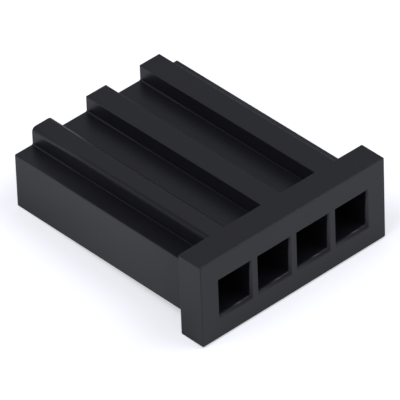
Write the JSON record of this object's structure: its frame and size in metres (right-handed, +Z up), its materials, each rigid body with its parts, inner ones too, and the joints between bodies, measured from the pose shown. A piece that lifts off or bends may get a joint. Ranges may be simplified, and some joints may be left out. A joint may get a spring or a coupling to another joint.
{
  "type": "wire to board connector housing",
  "caption": "Single-row crimp connector housing: a moulded block with a wire-end flange, square terminal cavities right through and polarising ribs along its top.",
  "frame": {"origin": "centre of the bounding box seen from above, on the lowest plane, which is the underside of the wire-end flange", "axes": "+X along the row of ways, +Y along the length from the wire-end flange to the mating end, +Z up through the ribs"},
  "size_m": [0.012, 0.0138, 0.0047],
  "materials": {
    "moulded_plastic": "black moulded thermoplastic with a fine satin grain"
  },
  "bodies": {
    "root": {"housing": "moulded_plastic"}
  },
  "joints": []
}
